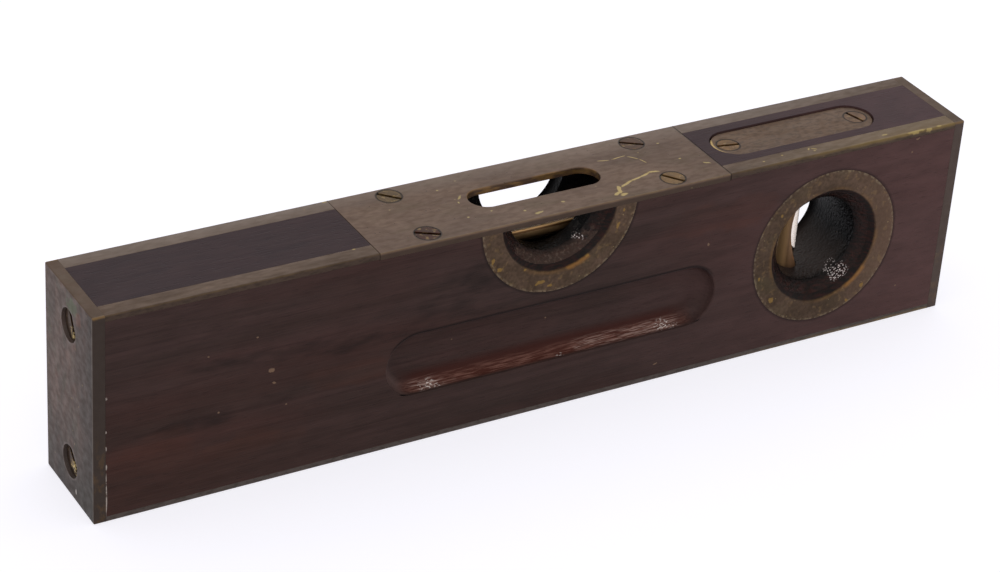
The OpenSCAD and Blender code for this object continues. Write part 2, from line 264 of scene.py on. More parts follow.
def round_line(tree, middle, straight, across, start, end):
    """A mask by the distance in mm from a straight line along X, whose width lies along Y or Z."""
    length = add(tree, "ShaderNodeMath", {0: coordinate(tree, "X", middle)}, operation="ABSOLUTE")
    length = add(tree, "ShaderNodeMath", {0: length, 1: straight}, operation="SUBTRACT")
    length = add(tree, "ShaderNodeMath", {0: length, 1: 0.0}, operation="MAXIMUM")
    flat = add(tree, "ShaderNodeCombineXYZ", {"X": length, across: coordinate(tree, across, middle)})
    far = add(tree, "ShaderNodeVectorMath", {0: flat}, out="Value", operation="LENGTH")
    return add(tree, "ShaderNodeMapRange", {"Value": far, "From Min": start, "From Max": end})


def round_grip(tree, start, end):
    """The same from the middle line of the finger hollow, whose rim lies at GRIP_R."""
    return round_line(tree, (GRIP_X, 0, GRIP_Z), GRIP_STRAIGHT, "Z", start, end)


def round_slot(tree, start, end):
    """The same from the middle line of the sight slot, whose edge lies at SLOT_R."""
    return round_line(tree, (SLOT_X, 0, 0), SLOT_STRAIGHT, "Y", start, end)


def corner_wear(tree, reach):
    """A ragged mask along the long corners of the body, which reaches some mm from them."""
    parts = []
    for axis, middle, half in (("Y", (0, 0, 0), HALF_W), ("Z", (0, 0, TOP / 2), TOP / 2)):
        part = add(tree, "ShaderNodeMath", {0: coordinate(tree, axis, middle)}, operation="ABSOLUTE")
        parts.append(add(tree, "ShaderNodeMath", {0: half, 1: part}, operation="SUBTRACT"))
    wave = add(tree, "ShaderNodeTexNoise", {"Vector": grid(tree, (6, 2, 2)), "Scale": 1.0, "Detail": 4.0})
    away = combined(tree, "ADD", parts)
    away = add(tree, "ShaderNodeMath", {0: wave, 1: 1.6 * reach, 2: away}, operation="MULTIPLY_ADD")
    return add(tree, "ShaderNodeMapRange", {"Value": away, "From Min": 1.8 * reach, "From Max": 1.1 * reach})


def bare_tree(owner):
    """The node tree of a new material or world, emptied."""
    owner.use_nodes = True
    owner.node_tree.nodes.clear()
    return owner.node_tree


def finish(name, build):
    """A material. A function of its node tree gives the inputs of its shader."""
    material = bpy.data.materials.new(name)
    tree = bare_tree(material)
    shader = add(tree, "ShaderNodeBsdfPrincipled", build(tree))
    add(tree, "ShaderNodeOutputMaterial", {"Surface": shader})
    return material


# The blows and nicks in the wood of the front
WOOD_DENTS = on_front([
    (-80.0, 32.4, 1.4, 1.1, 20),
    (-79.3, 28.5, 1.3, 0.6, 30),
    (-84.1, 42.8, 0.6, 0.5, 0),
    (-97.1, 40.5, 0.6, 0.5, 0),
    (-94.2, 23.8, 0.7, 0.6, 0),
    (-75.8, 21.3, 0.5, 0.5, 0),
    (33.4, 5.1, 1.2, 0.5, -20),
    (46.5, 38.5, 0.7, 0.9, 0),
    (111.7, 56.3, 1.2, 0.6, -12),
    (110.3, 52.5, 0.5, 0.6, 0),
    (111.3, 10.6, 0.6, 0.5, 0),
]) + on_front([(-27.3, 25.7, 0.6, 0.5, 0), (0.3, 25.3, 0.6, 0.5, 0)], depth=12)

# Soft figure in the wood of the front
DARK_BANDS = on_front([
    (-69, 35.8, 64, 4.4, 4.8),
    (-100, 22.4, 52, 4.0, -3.5),
    (-24, 40, 34, 15, 0),
], depth=8)
WARM_PATCHES = on_front([
    (-114, 15, 26, 15, 0),
    (-58, 26, 26, 8, 6),
    (-88, 12, 30, 7, 0),
    (52, 46, 30, 9, 0),
], depth=8)

# The gap that has opened beside the left end plate, and holds dust and chalk
DUSTY_GAP = on_front([
    (-123.7, 8.8, 0.36, 11.0, 0),
    (-123.7, 15.8, 0.4, 1.4, 0),
    (-123.7, 21.1, 0.4, 1.4, 0),
    (-123.7, 26.0, 0.4, 0.7, 0),
    (-123.7, 35.6, 0.6, 0.8, 0),
])

# Painted highlights on the cove of the finger hollow: a broad sheen, and bright glints
GRIP_SHINE = on_front([
    (-34, 14.8, 12, 7, 0),
    (25, 15.4, 32, 8, 0),
], depth=24)
GRIP_GLINTS = on_front([
    (-34.5, 14.2, 7, 3.4, 0),
    (36.5, 14.8, 7, 3.6, 0),
    (3.4, 14.0, 3, 2, 0),
], depth=24)

# The worn funnel under the half ring, and painted highlights: bright flecks on the varnish in the sight holes
HALF_FUNNEL = on_front([(0, 44, 40, 14, 0)], depth=30)
PAINTED_SPARKLES = [
    ((92.8, -10.6, 18.0), (6.2, 8, 5.0), (0, 35, 0)),
    ((7.4, -10.8, 47.7), (2.8, 4, 1.8), (0, 0, 0)),
]


def figured_wood(tree, fibres, pores):
    """The bare wood of the stock, paler towards the plumb end, with its blows and the dust in its gap."""
    figure = clouds(tree, (120, 60, 8), 0.36, 0.66, seed=3, detail=5, warp=0.6)
    dark_veins = clouds(tree, (46, 8, 1.6), 0.50, 0.72, seed=5, detail=4)
    red = clouds(tree, (70, 60, 12), 0.44, 0.74, seed=12)
    lower_left = all_of(tree, along(tree, "X", -20, -110), along(tree, "Z", 42, 4))
    blotches = clouds(tree, (9, 6, 3.2), 0.36, 0.68, seed=9, detail=4)
    front_face = behind_face(tree, 0.4, 0.1)
    painted_top_sheen = along(tree, "Z", TOP - 0.35, TOP - 0.15)
    beside_rings = all_of(tree, round_axes(tree, SIGHTS, "Y", RING_R + 0.9, RING_R + 0.2),
                          behind_face(tree, 0.6, 0.3))
    dust = all_of(tree, marks(tree, DUSTY_GAP, 5), clouds(tree, (0.8, 0.8, 0.8), 0.30, 0.46, seed=63))
    return coats(
        tree, "#392c29",
        ("#493735", figure, 0.8),
        ("#211716", dark_veins, 0.4),
        ("#502d29", red, 0.34),
        ("#4c2c22", lower_left, 0.22),
        ("#694c4b", along(tree, "X", 15, 125), 0.62),
        ("#1c1513", blotches, 0.24),
        ("#5c443e", fibres, 0.16),
        ("#1b1110", pores, 0.22),
        ("#151313", all_of(tree, front_face, blotches, marks(tree, DARK_BANDS, 12)), 0.42),
        ("#63341d", all_of(tree, front_face, figure, marks(tree, WARM_PATCHES, 9)), 0.2),
        # Painted reflection: the top face is tinted a cool grey, as its sheen would show the studio
        ("#2c2c3a", painted_top_sheen, 0.3),
        ("#14100f", beside_rings, 0.5),
        ("#8b6f5b", marks(tree, WOOD_DENTS), 0.7),
        ("#c4b6ad", dust, 0.75),
    )


def low_cove(tree, start, end):
    """A mask over the lower side of the finger hollow, by the distance in mm from its middle line."""
    return all_of(
        tree, behind_face(tree, 0.5, 1.5),
        round_grip(tree, GRIP_R + 3, GRIP_R + 1),
        along(tree, "Z", GRIP_Z, GRIP_Z - 3),
        along(tree, "X", GRIP_X - GRIP_STRAIGHT - 5, GRIP_X - GRIP_STRAIGHT + 1),
        along(tree, "X", GRIP_X + GRIP_STRAIGHT + 4, GRIP_X + GRIP_STRAIGHT - 3),
        round_grip(tree, start, end))


def used_hollow(tree, wood, lip, sheen_streaks):
    """The wood of the finger hollow, polished red on its lower lip, with painted highlights on it, painted
    light on its left wall and painted shade at its brow.
    """
    painted_light_left_wall = all_of(
        tree, behind_face(tree, 0.1, 0.5),
        round_grip(tree, GRIP_R - 2.6, GRIP_R - 1.2), round_grip(tree, GRIP_R + 1.2, GRIP_R + 0.6),
        along(tree, "X", GRIP_X - GRIP_STRAIGHT - 1, GRIP_X - GRIP_STRAIGHT - 4))
    brow = all_of(
        tree, round_grip(tree, GRIP_R - 0.9, GRIP_R), round_grip(tree, GRIP_R + 1.1, GRIP_R + 0.5),
        along(tree, "Z", GRIP_Z + 4, GRIP_Z + 7.5))
    shine = all_of(tree, lip, marks(tree, GRIP_SHINE, 7), clouds(tree, (4, 0.3, 0.3), 0.48, 0.60, seed=30))
    glints = all_of(tree, lip, marks(tree, GRIP_GLINTS, 3),
                    clouds(tree, (0.7, 0.32, 0.32), 0.54, 0.62, seed=28))
    return coats(
        tree, wood,
        # Painted light: the left wall of the hollow is made paler, against its shade
        ("#6a5450", painted_light_left_wall, 0.5),
        ("#401f19", low_cove(tree, GRIP_R - GRIP_COVE - 1.4, GRIP_R - GRIP_COVE + 1), 0.8),
        ("#512d25", lip, 0.75),
        # Painted highlights: sheen along the streaks of the grain, a broader sheen and bright glints
        ("#8b6358", sheen_streaks, 0.6),
        ("#b1958b", shine, 0.62),
        ("#f2e6df", glints, 0.95),
        # Painted shade: a dark band under the upper rim of the hollow
        ("#100b0b", brow, 0.75),
    )


def red_grain(tree):
    """Where red wood shows through the black varnish of the sight holes."""
    return clouds(tree, (2.6, 1.4, 0.6), 0.42, 0.72, seed=32, detail=4)


def crazed_varnish(tree):
    """Black varnish: worn in the funnels, dusty on the floor of the plumb sight, and with painted highlights in
    bright flecks.
    """
    funnel = behind_face(tree, 4.5, 3.0)
    half_funnel = all_of(tree, funnel, marks(tree, HALF_FUNNEL))
    chalk = all_of(tree, half_funnel, clouds(tree, (0.9, 0.9, 0.9), 0.52, 0.64, seed=68))
    dusty_floor = all_of(tree, behind_face(tree, 4, 7), along(tree, "Z", 26, 18))
    flecks = all_of(tree, marks(tree, PAINTED_SPARKLES, 2.5), specks(tree, 0.42, 0.19, 0.75, seed=67))
    return coats(
        tree, "#080708",
        ("#1a1413", clouds(tree, (5, 5, 1.6), 0.52, 0.70, seed=31, detail=4), 0.5),
        ("#2a1f1b", funnel, 0.6),
        ("#512823", all_of(tree, funnel, red_grain(tree)), 0.4),
        ("#4d3b33", half_funnel, 0.6),
        ("#51443f", dusty_floor, 0.55),
        ("#8a7567", chalk, 0.22),
        # Painted highlights: bright flecks on the varnish of the sight holes
        ("#fff0ec", flecks, 0.85),
    )


def matt_inside(tree, varnish, roughness):
    """A roughness that turns matt on the varnish in the far part of the sight holes."""
    return any_of(tree, all_of(tree, varnish, along(tree, "Y", 5, 9)), roughness)


def waxed_rosewood(tree):
    """Rosewood, planed and waxed: long figure, fine open pores and a satin sheen. The sight holes are
    varnished black, and the coves of the finger hollows are polished by use."""
    fibres = clouds(tree, (11, 1.2, 0.34), 0.35, 0.70, seed=7)
    pores = clouds(tree, (3.4, 0.5, 0.26), 0.60, 0.70, seed=8, detail=1)
    lip = low_cove(tree, GRIP_R - 2.6, GRIP_R - 0.9)
    sheen_streaks = all_of(tree, lip, clouds(tree, (5, 0.3, 0.3), 0.44, 0.62, seed=27))
    wood = used_hollow(tree, figured_wood(tree, fibres, pores), lip, sheen_streaks)
    varnish = any_of(
        tree, round_axes(tree, SIGHTS, "Y", FUNNEL_R + 0.4, FUNNEL_R),
        all_of(tree, round_axes(tree, SIGHTS, "Y", 25, 22), behind_face(tree, 2.4, 4.4)))
    lumps = all_of(tree, varnish, clouds(tree, (0.7, 0.7, 0.7), 0.3, 0.75, seed=21))
    polish = all_of(tree, varnish, clouds(tree, (6, 6, 6), 0.2, 0.5, seed=33), along(tree, "Y", 9, 5))
    satin = add(tree, "ShaderNodeMapRange", {"Value": polish, "To Min": 0.44, "To Max": 0.24})
    grain = carved(
        tree,
        (fibres, 0.02),
        (pores, -0.03),
        (marks(tree, WOOD_DENTS), -0.15),
        (lumps, 0.12),
        (sheen_streaks, 0.06),
    )
    return {
        "Base Color": coats(tree, wood, (crazed_varnish(tree), varnish, 1.0)),
        "Roughness": matt_inside(tree, varnish, satin),
        "Coat Weight": all_of(tree, polish, 0.07), "Coat Roughness": 0.08, "Coat Normal": grain,
        "Normal": grain, "Specular IOR Level": 0.06, "IOR": 1.5,
    }


# The long scratch by the front right screw of the top plate, in short strokes, and chips about it
TOP_SCRATCH = on_top([
    (20.0, -9.9, 3.8, 1.1, 75),
    (18.8, -11.4, 2.8, 1.0, 30),
    (19.8, -12.7, 2.2, 1.0, 10),
    (23.4, -8.0, 4.8, 0.85, 23),
    (27.3, -6.7, 4.0, 0.8, 12),
    (30.6, -5.7, 3.8, 0.8, 22),
    (33.2, -5.3, 2.8, 0.8, -15),
    (24.2, 4.9, 3.0, 0.3, -15),
    (28.2, 4.8, 4.0, 0.3, 6),
    (31.9, 3.6, 3.0, 0.3, -48),
    (33.6, 0.9, 2.4, 0.3, -70),
])
TOP_CHIPS = on_top([
    (-5.3, -12.2, 2.4, 0.8, 8),
    (3.3, -9.7, 0.9, 0.8, 0),
    (-8.1, -10.0, 0.8, 0.7, 0),
    (-15.8, -6.7, 0.6, 0.5, 0),
    (-22.8, -7.2, 0.6, 0.5, 0),
    (-23.3, 8.0, 0.6, 0.5, 0),
    (-19.9, 2.6, 1.8, 0.6, 50),
    (-21.4, 0.4, 1.0, 0.5, 80),
    (43.4, -2.0, 0.7, 0.5, 0),
    (42.5, 7.5, 0.7, 0.5, 0),
    (48.6, -6.6, 2.4, 0.6, -30),
])


def old_plate_brass(tree):
    """Rolled brass, draw-filed lengthwise and long since browned: a dull sheen, fine lines and pale chips."""
    broad = clouds(tree, (22, 8, 8), 0.34, 0.68, seed=4, detail=5, warp=0.4)
    mottle = clouds(tree, (2.6, 1.2, 1.2), 0.38, 0.66, seed=5, detail=4)
    lines = clouds(tree, (16, 0.4, 0.4), 0.35, 0.75, seed=6)
    olive = clouds(tree, (14, 5, 5), 0.52, 0.74, seed=15)
    pits = specks(tree, 1.7, 0.24, 0.35, seed=16)
    round_heads = any_of(tree, *[
        all_of(tree, round_axes(tree, screws, "Z", head / 2 + 0.45, head / 2 + 0.1, 0.3),
               along(tree, "Z", TOP - 1.2, TOP - 0.9))
        for screws, head in ((PLATE_SCREWS, PLATE_HEAD), (COVER_SCREWS, COVER_HEAD))])
    shaded_front_side = all_of(tree, behind_face(tree, 0.5, 0.1), along(tree, "Z", TOP - 0.3, TOP - 0.7))
    slot_wall = all_of(tree, round_slot(tree, SLOT_R + 0.5, SLOT_R), along(tree, "Z", TOP - 0.2, TOP - 0.5))
    golden = all_of(tree, clouds(tree, (5, 3, 1.2), 0.45, 0.60, seed=18),
                    round_slot(tree, SLOT_R + 0.3, SLOT_R - 0.1))
    seam = all_of(tree, along(tree, "X", PLATE_END - 0.5, PLATE_END - 0.1),
                  along(tree, "X", PLATE_END + 0.6, PLATE_END + 0.3))
    cover = along(tree, "X", PLATE_END + 3, PLATE_END + 4)
    cover_tip = all_of(
        tree, along(tree, "X", 57.4, 56.4), along(tree, "X", PLATE_END, PLATE_END + 1),
        round_axes(tree, [COVER_END], "Z", 5.5, 5.9, 0.3))
    grime = all_of(tree, cover, clouds(tree, (1.7, 0.9, 0.9), 0.48, 0.62, seed=64, detail=4))
    brass = coats(
        tree, "#59453a",
        ("#705a4c", broad, 0.85),
        ("#4f3c30", mottle, 0.36),
        ("#7d6852", lines, 0.14),
        ("#574c36", olive, 0.34),
        ("#978a81", along(tree, "Y", 7, 15), 0.3),
        ("#33281f", pits, 0.6),
        ("#624a35", cover, 0.45),
        ("#2a1e16", grime, 0.36),
        ("#4a3626", slot_wall, 0.6),
        ("#9a7440", golden, 0.7),
        # Painted shade on the front and back sides of the plate
        ("#3a2d24", shaded_front_side, 0.8),
        ("#150f0b", round_heads, 0.9),
        ("#a8946c", specks(tree, 4.6, 0.36, 0.3, seed=9), 0.4),
        ("#8a7450", corner_wear(tree, 0.4), 0.25),
        ("#ab9967", marks(tree, TOP_CHIPS), 0.8),
        ("#b8a26c", marks(tree, TOP_SCRATCH, 2.2), 0.85),
        ("#1c1610", seam, 0.7),
        ("#c8ab70", cover_tip, 0.85),
    )
    return {
        "Base Color": brass, "Metallic": 0.6,
        "Roughness": add(tree, "ShaderNodeMapRange", {"Value": mottle, "To Min": 0.40, "To Max": 0.52}),
        "Normal": carved(tree, (lines, 0.006), (mottle, 0.012), (pits, -0.04)),
        "Specular IOR Level": 0.25, "Anisotropic": 0.3,
    }


# The stains under the top of the left end, and the white chip near its foot
GREEN_STAIN = on_left([(-2.6, 55.0, 6.5, 4.5)])
RED_STAIN = on_left([(-6.0, 53.6, 3.4, 4)])
WHITE_CHIP = on_left([(-3.6, 2.8, 0.5, 1.6)], depth=3)


def old_end_brass(tree):
    """Cast brass of the end plates, filed flat and browned: greyer and more mottled than the top."""
    broad = clouds(tree, (9, 6, 13), 0.36, 0.66, seed=14, detail=5, warp=0.8)
    mottle = clouds(tree, (2.4, 2.4, 1.8), 0.36, 0.66, seed=13, detail=6)
    green = clouds(tree, (5, 4, 9), 0.50, 0.74, seed=17)
    warm = clouds(tree, (6, 5, 6), 0.54, 0.74, seed=19)
    low_corner = all_of(tree, along(tree, "Z", 26, 6), along(tree, "Y", 4, -12))
    shaded_front_side = behind_face(tree, 0.5, 0.1)
    bruised = all_of(tree, shaded_front_side, clouds(tree, (1.4, 2, 2.4), 0.50, 0.66, seed=65, detail=4),
                     along(tree, "Z", 26, 16))
    worn = all_of(tree, corner_wear(tree, 0.7), along(tree, "Z", 30, 50))
    brass = coats(
        tree, "#493930",
        ("#665148", broad, 0.85),
        ("#3b2f28", mottle, 0.3),
        ("#4b5142", green, 0.4),
        ("#7a5549", warm, 0.35),
        ("#4f5a3f", marks(tree, GREEN_STAIN, 2), 0.6),
        ("#7c4f3f", marks(tree, RED_STAIN, 2), 0.5),
        ("#2b2420", along(tree, "Z", 22, 3), 0.74),
        ("#2a1f19", along(tree, "Y", -2, -14), 0.84),
        ("#3c3a32", low_corner, 0.3),
        ("#978a80", behind_face(tree, 0.75, 0.45), 0.3),
        # Painted shade on the front and back sides of the end plates
        ("#352a24", shaded_front_side, 0.92),
        ("#6b4f2c", bruised, 0.3),
        ("#5c4a3c", along(tree, "Z", TOP - 0.4, TOP - 0.1), 0.7),
        ("#6b5a52", all_of(tree, shaded_front_side, along(tree, "X", 100, 120)), 0.3),
        ("#706460", round_axes(tree, END_SCREWS, "X", 5.0, 4.5), 0.5),
        ("#d8cfc8", marks(tree, WHITE_CHIP), 0.8),
        ("#9a855e", specks(tree, 3.6, 0.3, 0.25, seed=23), 0.4),
        ("#8c6c3e", worn, 0.5),
    )
    return {
        "Base Color": brass, "Metallic": 0.5,
        "Roughness": add(tree, "ShaderNodeMapRange", {"Value": mottle, "To Min": 0.46, "To Max": 0.6}),
        "Normal": carved(tree, (mottle, 0.02)), "Specular IOR Level": 0.25,
    }


# Golden specks along the top rails, most of them right of the top plate
RAIL_CHIPS = on_top([
    (63.0, -12.1, 0.8, 0.5, 0),
    (69.5, -11.2, 0.7, 0.5, 0),
    (78.0, -11.0, 1.3, 0.5, 40),
    (79.4, -11.4, 1.4, 0.5, -35),
    (79.0, -12.4, 0.7, 0.5, 0),
    (101.5, -12.4, 1.8, 0.7, 5),
    (111.0, -14.1, 4.5, 0.9, 2),
    (115.2, -14.3, 2.2, 0.8, 3),
    (118.7, -14.0, 1.6, 0.7, 0),
    (-56.2, -9.8, 1.0, 0.6, 0),
    (-52.2, 13.9, 1.2, 0.7, 0),
])


def rail_brass(tree):
    """Drawn brass strip of the corners, browned, rubbed golden on its outer corner near the plumb end."""
    broad = clouds(tree, (20, 5, 5), 0.34, 0.68, seed=24, detail=5)
    mottle = clouds(tree, (3.2, 1.2, 1.2), 0.38, 0.66, seed=25, detail=4)
    lines = clouds(tree, (14, 0.4, 0.4), 0.35, 0.75, seed=26)
    shaded_outer_side = behind_face(tree, 0.5, 0.1)
    towards_end = all_of(tree, along(tree, "X", 50, 115), along(tree, "Y", 6, -2))
    grey_back = all_of(tree, along(tree, "Y", 7, 13), along(tree, "X", 125, 70))
    grit = all_of(tree, shaded_outer_side, clouds(tree, (1.6, 1, 0.6), 0.46, 0.64, seed=66, detail=4))
    brass = coats(
        tree, "#503f34",
        ("#685549", broad, 0.9),
        ("#463628", mottle, 0.36),
        ("#75624d", lines, 0.14),
        ("#84704f", towards_end, 0.36),
        ("#978a82", grey_back, 0.3),
        # Painted shade on the outer sides of the rails
        ("#42342b", shaded_outer_side, 0.85),
        ("#5e5b5a", along(tree, "Z", 6, 4), 0.35),
        ("#241d15", grit, 0.4),
        ("#947643", specks(tree, 3.4, 0.28, 0.3, seed=29), 0.45),
        ("#8e7748", all_of(tree, corner_wear(tree, 1.0), towards_end), 0.5),
        ("#7c653f", corner_wear(tree, 0.4), 0.25),
        ("#a8935e", marks(tree, RAIL_CHIPS, 1.6), 0.75),
    )
    return {
        "Base Color": brass, "Metallic": 0.6,
        "Roughness": add(tree, "ShaderNodeMapRange", {"Value": mottle, "To Min": 0.40, "To Max": 0.54}),
        "Normal": carved(tree, (lines, 0.006), (mottle, 0.012)),
        "Specular IOR Level": 0.25, "Anisotropic": 0.3,
    }


# Where the rings have been rubbed back to bright brass, and where their lips are
RING_SPOTS = on_front([
    (-4.7, 39.1, 2.6, 1.3, -8),
    (-1.6, 37.7, 1.4, 0.7, 0),
    (-19.1, 48.7, 0.9, 1.8, 10),
    (-16.9, 45.8, 1.4, 1.2, 0),
    (17.5, 51.0, 1.0, 2.0, 20),
    (18.9, 55.1, 0.7, 1.2, 0),
    (-9.5, 44.0, 1.2, 0.6, -25),
    (1.0, 42.2, 3.4, 0.6, 0),
    (8.3, 44.3, 2.4, 0.8, 25),
    (69.4, 41.9, 0.9, 0.9, 0),
    (94.8, 9.8, 1.4, 0.8, 20),
    (99.3, 13.5, 1.2, 1.2, 40),
    (64.3, 23.5, 0.7, 1.4, 0),
    (69.1, 16.0, 1.4, 1.8, -30),
], depth=3)
RUBBED_LIPS = on_front([
    (96.5, 16.5, 12, 9, 40),
    (6, 43, 14, 5, 20),
])


def ring_brass(tree):
    """Brass rings with an olive brown patina, rubbed golden in spots and along the lip."""
    broad = clouds(tree, (9, 9, 9), 0.34, 0.68, seed=34, detail=5)
    mottle = clouds(tree, (0.9, 0.9, 0.9), 0.38, 0.64, seed=35, detail=5)
    rubbed = clouds(tree, (1.6, 1.6, 1.6), 0.58, 0.68, seed=37, detail=4)
    rim = all_of(tree, round_axes(tree, SIGHTS, "Y", RING_R - 0.8, RING_R - 0.3),
                 clouds(tree, (1.2, 1.2, 1.2), 0.46, 0.58, seed=38))
    lip = all_of(tree, round_axes(tree, SIGHTS, "Y", FUNNEL_R + 1.1, FUNNEL_R + 0.3),
                 clouds(tree, (8, 8, 8), 0.46, 0.62, seed=39))
    lip_low = all_of(tree, round_axes(tree, SIGHTS, "Y", FUNNEL_R + 1.3, FUNNEL_R + 0.4),
                     marks(tree, RUBBED_LIPS, 4))
    varnish = round_axes(tree, SIGHTS, "Y", FUNNEL_R, FUNNEL_R - 0.4, 0.3)
    brass = coats(
        tree, "#46372a",
        ("#624e40", broad, 0.9),
        ("#372b21", mottle, 0.45),
        ("#514a33", clouds(tree, (10, 9, 7), 0.5, 0.75, seed=36), 0.35),
        ("#745a4b", along(tree, "X", 88, 108), 0.5),
        ("#7f6646", rubbed, 0.35),
        ("#857660", rim, 0.5),
        ("#7c5a30", lip, 0.3),
        ("#a06f34", lip_low, 0.45),
        ("#95753c", marks(tree, RING_SPOTS), 0.6),
        ("#a8946a", specks(tree, 2.0, 0.2, 0.45, seed=43), 0.5),
        (coats(tree, "#17110f", ("#512823", red_grain(tree), 0.3)), varnish, 1.0),
    )
    dull = add(tree, "ShaderNodeMapRange", {"Value": mottle, "To Min": 0.42, "To Max": 0.55})
    return {
        "Base Color": brass,
        "Metallic": add(tree, "ShaderNodeMapRange", {"Value": varnish, "To Min": 0.5, "To Max": 0.0}),
        "Roughness": matt_inside(tree, varnish, dull),
        "Normal": carved(tree, (mottle, 0.03), (rubbed, -0.02)), "Specular IOR Level": 0.1,
    }


# The patina of each screw of the top, and painted glints on the lower part of the heads of those of the end
SCREW_TINTS = [
    (PLATE_SCREWS[0], "#421d10", 0.9),
    (PLATE_SCREWS[1], "#836338", 0.75),
    (PLATE_SCREWS[2], "#66502f", 0.7),
    (PLATE_SCREWS[3], "#5f4130", 0.7),
    (COVER_SCREWS[0], "#836038", 0.75),
    (COVER_SCREWS[1], "#805f45", 0.7),
]
WHOLE_HEAD = (14, 14, 14)
END_GLINTS = on_left([
    (0.4, 46.8, 2.4, 1.8),
    (-0.8, 45.4, 2.0, 1.6),
    (-0.4, 7.8, 3.4, 3.0),
    (-2.0, 6.4, 2.2, 1.8),
], depth=6, inset=1)


def screw_brass(tree):
    """Turned brass screws, each browned in its own way, with dirt round them, bright bruises, and painted
    glints on the end screws.
    """
    broad = clouds(tree, (2.4, 2.4, 2.4), 0.34, 0.68, seed=44)
    bruises = clouds(tree, (1.1, 1.1, 1.1), 0.58, 0.68, seed=47, detail=2)
    tints = [(tint, marks(tree, [(middle, WHOLE_HEAD, (0, 0, 0))], 20), most)
             for middle, tint, most in SCREW_TINTS]
    heads = ((PLATE_SCREWS, "Z", PLATE_HEAD), (COVER_SCREWS, "Z", COVER_HEAD), (END_SCREWS, "X", END_HEAD))
    head_rim = any_of(tree, *[
        all_of(tree, round_axes(tree, screws, axis, head / 2 - 0.35, head / 2 - 0.1, 0.2),
               round_axes(tree, screws, axis, head / 2 + 1.0, head / 2 + 0.6, 0.2))
        for screws, axis, head in heads])
    painted_screw_glints = all_of(tree, marks(tree, END_GLINTS), clouds(tree, (0.7, 0.7, 0.7), 0.44, 0.56, seed=48))
    brass = coats(
        tree, "#48372a",
        *tints,
        ("#2e2218", broad, 0.55),
        ("#a88c5a", bruises, 0.35),
        # Painted glints on the lower part of the end screws' heads
        ("#e2c98e", painted_screw_glints, 0.9),
        ("#17110d", head_rim, 0.7),
    )
    return {
        "Base Color": brass, "Metallic": 0.65, "Roughness": 0.38, "Specular IOR Level": 0.25,
        "Normal": carved(tree, (broad, 0.03), (bruises, -0.03)),
    }


def level_tube_brass(tree):
    """Drawn brass tube under old lacquer: golden where clean, with brown clouds, and painted shade on its
    underside.
    """
    stains = clouds(tree, (4, 2, 3), 0.42, 0.70, seed=57, detail=4)
    outside = round_axes(tree, [LEVEL_TUBE], "X", 4.6, 4.8, 0.1)
    brass = coats(
        tree, "#ae8b62",
        ("#38291a", stains, 0.5),
        # Painted shade on the underside of the tube
        ("#1b130c", all_of(tree, outside, along(tree, "Z", 48.0, 46.6)), 0.9),
        ("#1f160e", all_of(tree, outside, along(tree, "X", 2, 14)), 0.6),
        ("#4a2c0e", along(tree, "Z", 48.6, 48.8), 0.8),
        ("#c29a68", along(tree, "Z", 49.2, 49.4), 0.85),
    )
    return {
        "Base Color": brass, "Metallic": 0.75, "Roughness": 0.32, "Specular IOR Level": 0.25,
        "Normal": carved(tree, (stains, 0.02)),
    }


# The orange stain in the middle of the plumb tube
ORANGE_STAIN = [((84.0, -2.5, 24), (3, 6, 10), (0, 0, 0))]


def plumb_tube_brass(tree):
    """The same tube, its lacquer dull and brown: olive and painted lighter at its left, darker at its right,
    and with painted shade at its foot.
    """
    stains = clouds(tree, (2.4, 2, 5), 0.40, 0.70, seed=58, detail=4)
    brass = coats(
        tree, "#e0aa7e",
        ("#8d6c50", stains, 0.3),
        # Olive at the left, and painted lighter there as well: painted light against the shade of the hole
        ("#a8905f", along(tree, "X", 83.0, 81.0), 0.5),
        ("#4e3924", along(tree, "X", 81.1, 81.9), 0.78),
        ("#c87f42", marks(tree, ORANGE_STAIN, 3), 0.5),
        # Painted shade at the foot of the tube
        ("#1b130f", along(tree, "Z", 18, 15), 0.9),
    )
    return {
        "Base Color": brass, "Metallic": 0.3, "Roughness": 0.42, "Specular IOR Level": 0.3,
        "Normal": carved(tree, (stains, 0.02)),
    }


GLASS_IOR = 1.52
ALCOHOL_IOR = 1.36


def clear(tint, ior):
    """The shader's inputs for something clear and smooth."""
    return {"Base Color": tint, "Transmission Weight": 1.0, "Roughness": 0.0, "IOR": ior}


def drawn_glass(_):
    """Soda glass tube, drawn and flame-sealed: clear, a little smoky with age."""
    return clear("#fbf8f5", GLASS_IOR)


def clear_spirit(_):
    """Alcohol: thin and clear, a trace of yellow."""
    return clear("#fff9f2", ALCOHOL_IOR)


def air_bubble(_):
    """Air in alcohol: light bends the other way at its wall, so it is a bright bar with a dark border."""
    return clear("#ffffff", 1 / ALCOHOL_IOR)


def gypsum_plaster(tree):
    """Gypsum plaster, troweled in wet: matt, yellowed and slightly pitted."""
    pits = clouds(tree, (0.9, 0.9, 0.9), 0.45, 0.7, seed=61)
    return {
        "Base Color": coats(tree, "#cfc3a8", ("#a89a7c", pits, 1.0)), "Roughness": 0.9,
        "Normal": carved(tree, (pits, 0.08)),
    }


FINISHES = {build.__name__: finish(build.__name__, build) for build in (
    waxed_rosewood, old_plate_brass, old_end_brass, rail_brass, ring_brass, screw_brass,
    level_tube_brass, plumb_tube_brass, drawn_glass, clear_spirit, air_bubble, gypsum_plaster)}

# Radii in mm of the worn edges: the outer corners, the free rims and the joints
CORNER = 0.4
RIM = 0.25
JOINT = 0.07
WIDEST = max(CORNER, RIM, JOINT)

# Edges that turn by less than this are part of a curve, and this near a screw's middle they stay crisp, in mm
SHARP = math.radians(28)
SCREW_ROOM = 3.6


